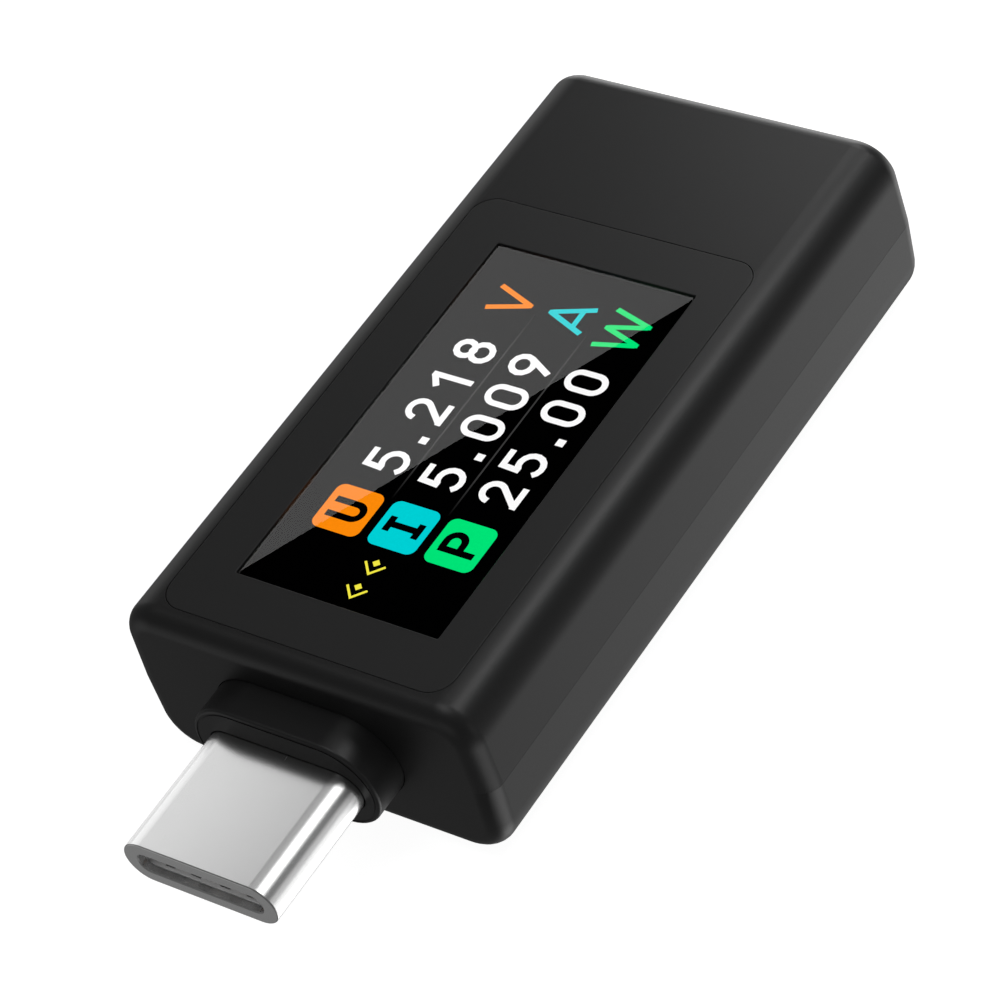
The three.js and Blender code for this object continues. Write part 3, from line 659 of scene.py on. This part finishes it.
def zigzag(corners):
    """Straight strokes from corner to corner; each inner corner is a gap with a short stroke across it."""
    inner = corners[1:-1]
    starts = corners[:1] + [(u + ZIGZAG_GAP, v) for u, v in inner]
    ends = [(u - ZIGZAG_GAP, v) for u, v in inner] + corners[-1:]
    across = [[(u - ZIGZAG_REACH, v), (u + ZIGZAG_REACH, v)] for u, v in inner]
    return [list(leg) for leg in zip(starts, ends)] + across


def glyph_strokes():
    """Centre lines of figures and letters, in a box of height 1 centred on 0, as lists of (across, up)."""
    a = (FIGURE_WIDTH - FIGURE_STROKE) / 2 / (FIGURE_HEIGHT - FIGURE_STROKE)
    b = 0.87 * a  # the bowl on top of an 8
    c = 1.12 * a  # the bowl of a 5
    end = FIGURE_STROKE / 2 / (FIGURE_HEIGHT - FIGURE_STROKE)
    foot = (-0.1, -end)
    return {
        "0": [arc(0, 1 - a, a, 0, 180) + arc(0, a, a, 180, 360) + [(a, 1 - a)]],
        "1": [[(-0.27, 0.77), (0.1, 1.03)], [(0.09, -end), (0.09, 1 + end)]],
        "2": [arc(0, 1 - a, a, 178, -36) + [(0.03 - a, 0)], [(-a - end * 0.5, 0), (a + end, 0)]],
        "5": [[(a, 1), (0.04 - a, 1), (0.01 - a, 0.5)], arc(a - c, c, c, 128, -146)],
        "8": [arc(0, 1 - b, b, -90, 270), arc(0, a, a, -90, 270)],
        "9": [arc(0, 1 - a, a, 0, 360), [tangent(*foot, 1 - a, a), foot]],
        "V": zigzag([(-0.395, 1.09), (0, 0), (0.395, 1.09)]),
        "A": zigzag([(-0.425, -0.09), (0, 1), (0.425, -0.09)]) + [[(-0.3, 0.22), (0.3, 0.22)]],
        "W": zigzag([(-0.625, 1.09), (-0.32, 0), (0, 1), (0.32, 0), (0.625, 1.09)]),
        "U": [[(-0.28, 1.1), (-0.28, 0.28)] + arc(0, 0.28, 0.28, 180, 360) + [(0.28, 1.1)]],
        "I": [[(-0.29, 1), (0.29, 1)], [(-0.29, 0), (0.29, 0)], [(0, -0.02), (0, 1.02)]],
        "P": [
            [(-0.27, -0.1), (-0.27, 1.1)],
            [(-0.27, 1), (0.04, 1)] + arc(0.04, 0.71, 0.29, 90, -90) + [(-0.27, 0.42)],
        ],
    }


def stroke(line, width, depth, low=0.0):
    """A thin bar along a line in the XY plane, joined end to end if the line closes."""
    closed = math.dist(line[0], line[-1]) <= SAME_PLACE
    points = [Vector(p) for p in without_repeats(line, closed)]
    shape = bmesh.new()
    rings = []
    for i, point in enumerate(points):
        before = (point - points[i - 1]).normalized() if closed or i else None
        following = points[(i + 1) % len(points)]
        after = (following - point).normalized() if closed or i + 1 < len(points) else None
        along = ((before or after) + (after or before)).normalized()
        mitre = 1 / max(along.dot(after or before), MITRE_LIMIT)
        out = Vector((-along.y, along.x)) * width / 2 * mitre
        edges = (point - out, point + out)
        corners = [(*edges[0], low), (*edges[1], low), (*edges[1], low + depth), (*edges[0], low + depth)]
        rings.append([shape.verts.new(corner) for corner in corners])
    followers = rings[1:] + (rings[:1] if closed else [])
    for ring, following in zip(rings, followers):
        for k in range(4):
            shape.faces.new((ring[k], ring[(k + 1) % 4], following[(k + 1) % 4], following[k]))
    if not closed:
        shape.faces.new(rings[0])
        shape.faces.new(list(reversed(rings[-1])))
    return to_object("stroke", shape)


def glyph(lines, height, width, depth, low=0.0):
    """A character as one thin solid: across along X and up along Y, centred on its middle."""
    bars = [stroke([(u * height, (v - 0.5) * height) for u, v in line], width, depth, low) for line in lines]
    return add(bars[0], *bars[1:])


def write(piece, row_x, y):
    """Lays a solid drawn across X and up Y on the display's glass, in a row that reads along +Y."""
    turn = Matrix(((0, -1, 0, row_x), (1, 0, 0, y), (0, 0, 1, GLASS[1].z + READOUT_GAP), (0, 0, 0, 1)))
    piece.data.transform(Matrix.Scale(MM, 4) @ turn)
    return piece


def lit(name, pieces, ink):
    """Joins solids that lie apart into one lit piece of the display."""
    shape = bmesh.new()
    for piece in pieces:
        shape.from_mesh(piece.data)
        bpy.data.objects.remove(piece)
    bmesh.ops.dissolve_degenerate(shape, dist=SLIVER * MM, edges=shape.edges)
    mesh = bpy.data.meshes.new(name)
    shape.to_mesh(mesh)
    shape.free()
    mesh.materials.append(ink)
    made = link(name, mesh)
    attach(made, "meter")


def figure_row(figures, row_x, strokes):
    """The figures of one row. A point takes a narrower cell than a figure."""
    height = FIGURE_HEIGHT - FIGURE_STROKE
    pieces = []
    y = FIRST_FIGURE_Y
    for i, figure in enumerate(figures):
        if figure == ".":
            half = POINT_SIDE / 2
            bottom = -FIGURE_HEIGHT / 2
            piece = stroke([(-half, bottom + half), (half, bottom + half)], POINT_SIDE, READOUT_DEPTH)
        else:
            piece = glyph(strokes[figure], height, FIGURE_STROKE, READOUT_DEPTH)
        pieces.append(write(piece, row_x, y))
        y += POINT_STEP if "." in figures[i : i + 2] else FIGURE_STEP
    return pieces


def icon(letter, row_x, strokes):
    """A rounded tile with its letter cut out of it."""
    outline = rounded_rect(0, 0, ICON_WIDTH / 2, ICON_HEIGHT / 2, ICON_ROUND)
    tile = mm_skin("tile", [[(u, v, z) for u, v in outline] for z in (0, READOUT_DEPTH)])
    height = ICON_LETTER - ICON_STROKE
    cut(tile, glyph(strokes[letter], height, ICON_STROKE, 3 * READOUT_DEPTH, -READOUT_DEPTH))
    return write(tile, row_x, ICON_Y)


def arrow(y):
    """A chevron that points back along the row, with a diamond inside it."""
    line = [(CHEVRON_REACH, CHEVRON_HALF), (CHEVRON_TIP, 0), (CHEVRON_REACH, -CHEVRON_HALF)]
    chevron = stroke(line, CHEVRON_STROKE, READOUT_DEPTH)
    middle, half = DIAMOND_MIDDLE, DIAMOND_HALF
    diamond = [(middle + half, 0), (middle, half), (middle - half, 0), (middle, -half)]
    dot = mm_skin("dot", [[(u, v, z) for u, v in diamond] for z in (0, READOUT_DEPTH)])
    return [write(piece, MARKS_X, y) for piece in (chevron, dot)]


def readout():
    inks = {name: glowing("ink_" + name, colour, READOUT_GLOW) for name, colour in INKS.items()}
    strokes = glyph_strokes()
    figures = []
    lines = []
    for row, (letter, text, unit, ink) in enumerate(ROWS):
        shift = (row - 1) * ROW_STEP
        figures += figure_row(text, MIDDLE_ROW_X + shift, strokes)
        sign = glyph(strokes[unit], FIGURE_HEIGHT - FIGURE_STROKE, UNIT_STROKE, READOUT_DEPTH)
        marks = [icon(letter, MARKS_X + shift, strokes), write(sign, MIDDLE_ROW_X + shift, UNIT_Y)]
        lit("readout_" + ink, marks, inks[ink])
    lit("readout_white", figures, inks["white"])
    lit("readout_yellow", [piece for y in ARROWS_Y for piece in arrow(y)], inks["yellow"])
    for shift in (-ROW_STEP / 2, ROW_STEP / 2):
        line = stroke([(y, 0) for y in LINES_Y], LINE_WIDTH, READOUT_DEPTH)
        lines.append(write(line, MARKS_X + shift, 0))
    lit("readout_lines", lines, glowing("ink_line", (1, 1, 1), LINE_GLOW, LINES_Y))


# ---------------------------------------------------------------- connectors

def slot_outline(inset):
    return rounded_rect(0, AXIS, SLOT_WIDTH / 2 - inset, SLOT_HEIGHT / 2 - inset, SLOT_ROUND - inset)


def plug_shell():
    tip = PLUG[0].y
    rear = box_mm("plug_rear_housing")[1].y + PLUG_REAR_SPARE
    piece = along_y("plug_jacket", plug_outline, round_start(tip, PLUG_EDGE, 5) + [(rear, 0)])
    cavity = along_y("cavity", plug_outline, [(tip + PLUG_LIP, PLUG_WALL), (rear + FAR_OUT, PLUG_WALL)])
    chamfer = [(tip - SPARE, -SLOT_CHAMFER - SPARE), (tip + SLOT_CHAMFER, 0)]
    cut(piece, cavity, along_y("slot", slot_outline, chamfer + [(tip + PLUG_LIP + SPARE, 0)]))
    tab_z = BOARD[1].z + FIT
    low, high = (TAB_X, rear - TAB_OVERLAP, tab_z), (PLUG[1].x, PLUG[1].y, tab_z + TAB_THICK)
    add(piece, *both_sides(lambda sign: side_block("tab", sign, low, high)))
    return stand_for(piece, "plug_shell")


def socket_shell():
    front, rear = SOCKET[1].y, SOCKET[0].y
    ends = round_start(rear, SOCKET_EDGE, 3) + round_end(front, SOCKET_EDGE, 3)
    piece = along_y("socket_jacket", socket_outline, ends)
    chamfer = [(front - SOCKET_CHAMFER, SOCKET_WALL), (front + SPARE, SOCKET_WALL - SOCKET_CHAMFER - SPARE)]
    cut(piece, along_y("mouth", socket_outline, [(rear - FAR_OUT, SOCKET_WALL)] + chamfer))
    near, far, outer = NEAR + LEG_Y - LEG_HALF, NEAR + LEG_Y + LEG_HALF, SOCKET[1].x
    leg_z = BOARD[1].z + FIT
    flat = ((LEG_X, near, leg_z), (outer, far, leg_z + LEG_THICK))
    down = ((outer - LEG_THICK, near, BOARD[0].z - LEG_BELOW), (outer, far, BOARD[1].z + SPARE))
    for low, high in (flat, down):
        add(piece, *both_sides(lambda sign: side_block("leg", sign, low, high)))
    stand_for(piece, "socket_shell")


# ---------------------------------------------------------------- stage

CAMERA_PLACE = (97.67, -93.45, 136.16)
CAMERA_AZIMUTH, CAMERA_ELEVATION, CAMERA_ROLL = 45.98, 44.24, -18.77
CAMERA_LENS, CAMERA_SENSOR = 150.19, 36
CAMERA_CLIP = (0.01, 10)  # metres
GLARE, GLARE_REACH, GLARE_DEPTH, GLARE_SPARE = 1.5, 3.2, 2.5, 0.3
FLOOR_TONE, FLOOR_GLOW = 0.35, 0.95
FLOOR_HALF, FLOOR_DROP = 3, 0.00002  # metres


def camera():
    data = bpy.data.cameras.new("camera")
    data.lens = CAMERA_LENS
    data.sensor_width = CAMERA_SENSOR
    data.clip_start, data.clip_end = CAMERA_CLIP
    made = link("camera", data)
    a, e = math.radians(CAMERA_AZIMUTH), math.radians(CAMERA_ELEVATION)
    back = Vector((math.sin(a) * math.cos(e), -math.cos(a) * math.cos(e), math.sin(e)))
    turn = back.to_track_quat("Z", "Y").to_matrix() @ Matrix.Rotation(math.radians(CAMERA_ROLL), 3, "Z")
    made.matrix_world = Matrix.Translation(Vector(CAMERA_PLACE) * MM) @ turn.to_4x4()
    bpy.context.scene.camera = made


def only_on(light, *pieces):
    """The light falls on these pieces only, as when the rest is flagged off."""
    chosen = bpy.data.collections.new(light.name + " receivers")
    for piece in pieces:
        chosen.objects.link(piece)
    light.light_linking.receiver_collection = chosen


def not_on(light, *pieces):
    """The light falls on every piece but these."""
    chosen = bpy.data.collections.new(light.name + " receivers")
    for piece in pieces:
        chosen.objects.link(piece)
    for entry in chosen.collection_objects:
        entry.light_linking.link_state = "EXCLUDE"
    light.light_linking.receiver_collection = chosen


def card(name, centre, aim, size, radiance):
    """A soft light card of a given radiance; centre, aim and size in millimetres."""
    data = bpy.data.lights.new(name, "AREA")
    data.shape = "RECTANGLE"
    data.size, data.size_y = size[0] * MM, size[1] * MM
    data.energy = radiance * data.size * data.size_y * math.pi
    made = link(name, data)
    made.location = Vector(centre) * MM
    made.rotation_mode = "QUATERNION"
    made.rotation_quaternion = (Vector(aim) - Vector(centre)).to_track_quat("-Z", "Y")
    made.visible_camera = False
    return made


def glare_corners():
    """Corners of a card whose long edge the window mirrors along its own diagonal."""
    eye = Vector(CAMERA_PLACE)
    z = LENS[1].z
    mirrored = Vector((eye.x, eye.y, 2 * z - eye.z))
    start, end = Vector((WINDOW_LEFT, WINDOW_NEAR, z)), Vector((WINDOW_RIGHT, WINDOW_FAR, z))
    corner = Vector((WINDOW_LEFT, WINDOW_FAR, z))
    first, last, inner = (mirrored + (point - mirrored) * GLARE_REACH for point in (start, end, corner))
    along = last - first
    away = inner - first
    away -= along * away.dot(along) / along.length_squared
    first, last = first - along * GLARE_SPARE, last + along * GLARE_SPARE
    return [first, last, last + away * GLARE_DEPTH, first + away * GLARE_DEPTH]


def glare_card(pane):
    """The bright card that the window alone mirrors."""
    shape = bmesh.new()
    shape.faces.new([shape.verts.new(corner * MM) for corner in glare_corners()])
    made = to_object("glare_card", shape)
    material, tree, output = new_material("glare_card")[:3]
    shader = node(tree, "Emission", {"Strength": GLARE})
    tree.links.new(shader.outputs[0], output.inputs["Surface"])
    made.data.materials.append(material)
    made.visible_camera = False
    made.visible_diffuse = False
    made.visible_shadow = False
    only_on(made, pane)


def floor():
    """A pale plain floor; the object's reflections see the studio round it instead."""
    shape = bmesh.new()
    corners = [(-1, -1), (1, -1), (1, 1), (-1, 1)]
    shape.faces.new([shape.verts.new((x * FLOOR_HALF, y * FLOOR_HALF, -FLOOR_DROP)) for x, y in corners])
    made = to_object("floor", shape)
    material, tree, output = new_material("floor")[:3]
    matte = node(tree, "BsdfDiffuse", {"Color": (FLOOR_TONE, FLOOR_TONE, FLOOR_TONE, 1)})
    glow = node(tree, "Emission", {"Strength": FLOOR_GLOW})
    both = node(tree, "AddShader", {0: matte.outputs[0], 1: glow.outputs[0]})
    tree.links.new(both.outputs[0], output.inputs["Surface"])
    made.data.materials.append(material)
    made.visible_glossy = False
    made.visible_diffuse = False
    made.visible_shadow = False


def lobe(tree, direction, aim, start, full):
    """0 where a direction is more than start away from aim, rising to 1 at full; both are cosines."""
    towards = Vector(aim).normalized()
    along = node(tree, "VectorMath", {0: direction, 1: towards}, operation="DOT_PRODUCT").outputs["Value"]
    steps = {"Value": along, "From Min": start, "From Max": full}
    return node(tree, "MapRange", steps, interpolation_type="SMOOTHSTEP").outputs["Result"]


def brightness(tree, direction, lobes):
    total = 0.0
    for aim, start, full, radiance in lobes.values():
        share = lobe(tree, direction, aim, start, full)
        total = node(tree, "Math", {0: share, 1: radiance, 2: total}, operation="MULTIPLY_ADD").outputs[0]
    return total


WORLD_LOBES = {  # where the surround is bright: direction, cosines where it starts and is full, radiance
    "even": ((0, 0, 1), -1.5, -1.2, 0.165),
    "window_sees": ((-0.52, 0.485, 0.70), 0.94, 0.985, -0.165),
    "far_band": ((0.3, 0.8, -0.5), 0.85, 0.99, 1.7),
    "far_low": ((-0.5, 0.8, -0.3), 0.75, 0.97, 0.3),
    "floor": ((0, 0.3, -0.95), 0.9, 0.985, 0.35),
    "near_low": ((0.65, -0.15, -0.745), 0.87, 0.98, 0.9),
    "near_under": ((0.355, 0.05, -0.933), 0.93, 0.99, 2.0),
    "far_up": ((-0.5, 0.86, 0.0), 0.93, 0.985, 2.6),
    "left_low": ((-0.68, -0.68, -0.26), 0.9, 0.98, 0.45),
}


def world():
    """Pale to the eye; a dim surround with soft bright areas for the object."""
    made = bpy.data.worlds.new("world")
    bpy.context.scene.world = made
    made.use_nodes = True
    tree = made.node_tree
    tree.nodes.clear()
    output = node(tree, "OutputWorld")
    seen = node(tree, "LightPath").outputs["Is Camera Ray"]
    direction = node(tree, "TexCoord").outputs["Generated"]
    surround = node(tree, "Background", {"Strength": brightness(tree, direction, WORLD_LOBES)})
    pale = node(tree, "Background", {"Color": (1, 1, 1, 1)})
    mixed = node(tree, "MixShader", {0: seen, 1: surround.outputs[0], 2: pale.outputs[0]})
    tree.links.new(mixed.outputs[0], output.inputs["Surface"])


CARDS = {  # centre, aim, size, radiance
    "overhead_right": ((75, 112, 190), (5, 0, 8), (70, 70), 4.7),
    "overhead_far": ((-30, 185, 150), (5, 0, 8), (80, 80), 2.8),
    "zenith": ((-20, -20, 320), (0, 0, 5), (160, 160), 1.8),
    "over_edge": ((55, 70, 55), (4, 20, 9), (40, 40), 0.36),
    "over_far_corner": ((-18, 62, 50), (7, 21, 9), (24, 24), 1.08),
    "left": ((-225, 140, 40), (0, 0, 5), (180, 110), 0.4),
    "right_fill": ((260, 10, 40), (0, 0, 5), (120, 160), 0.35),
    "front_fill": ((10, -270, 40), (0, 0, 5), (160, 120), 0.35),
}
INSIDE_PLUG = (
    "plug_insulator", "plug_contacts_upper", "plug_contacts_lower", "plug_latch_right", "plug_latch_left",
)
PLUG_BAND = {  # radiance of the cards round the plug, by angle from +X to +Z about the plug's axis
    -85: 1.2, -57: 1.6, -30: 1.4, -2: 0.7, 27: 0.12, 65: 3.0, 105: 0.5, 185: 0.85, 212: 0.7,
}
PLUG_BAND_TILT, PLUG_BAND_REACH, PLUG_BAND_SIZE = 24.5, 200, 100
PLUG_FRONT_CARD = ((-90, -85, -110), (0, -22, 4), (120, 120), 0.13)
PLUG_TOP_CARD = ((-66, -2, 44), (0, -20.5, 5.6), (66, 66), 1.3)
PLUG_MOUTH_CARD = ((0, -23.1, 4.4), (0, -20, 4.4), (6.2, 0.7), 2.4)


def plug_lights(pieces):
    """A ring of cards round the plug, tilted the way its sides mirror the camera, and three for its faces."""
    middle = Vector((0, (PLUG[0].y + NEAR) / 2, AXIS))
    tilt = math.radians(PLUG_BAND_TILT)
    for angle, radiance in PLUG_BAND.items():
        a = math.radians(angle)
        towards = Vector((math.cos(tilt) * math.cos(a), math.sin(tilt), math.cos(tilt) * math.sin(a)))
        size = (PLUG_BAND_SIZE, PLUG_BAND_SIZE)
        only_on(card(f"plug_{angle}", middle + towards * PLUG_BAND_REACH, middle, size, radiance), *pieces)
    for name, values in (("top", PLUG_TOP_CARD), ("front", PLUG_FRONT_CARD), ("mouth", PLUG_MOUTH_CARD)):
        only_on(card("plug_" + name, *values), *pieces)


def lights(plug_pieces, pane):
    for name, values in CARDS.items():
        not_on(card(name, *values), pane, *plug_pieces)
    plug_lights(plug_pieces)


finish_cad_nodes()
upper_shell()
lower_shell()
collar()
bezel()
pane = lens()
readout()
plug = [plug_shell()] + [frame["nodes"][name] for name in INSIDE_PLUG]
socket_shell()
camera()
floor()
world()
lights(plug, pane)
glare_card(pane)
bpy.context.scene.view_settings.view_transform = "Standard"
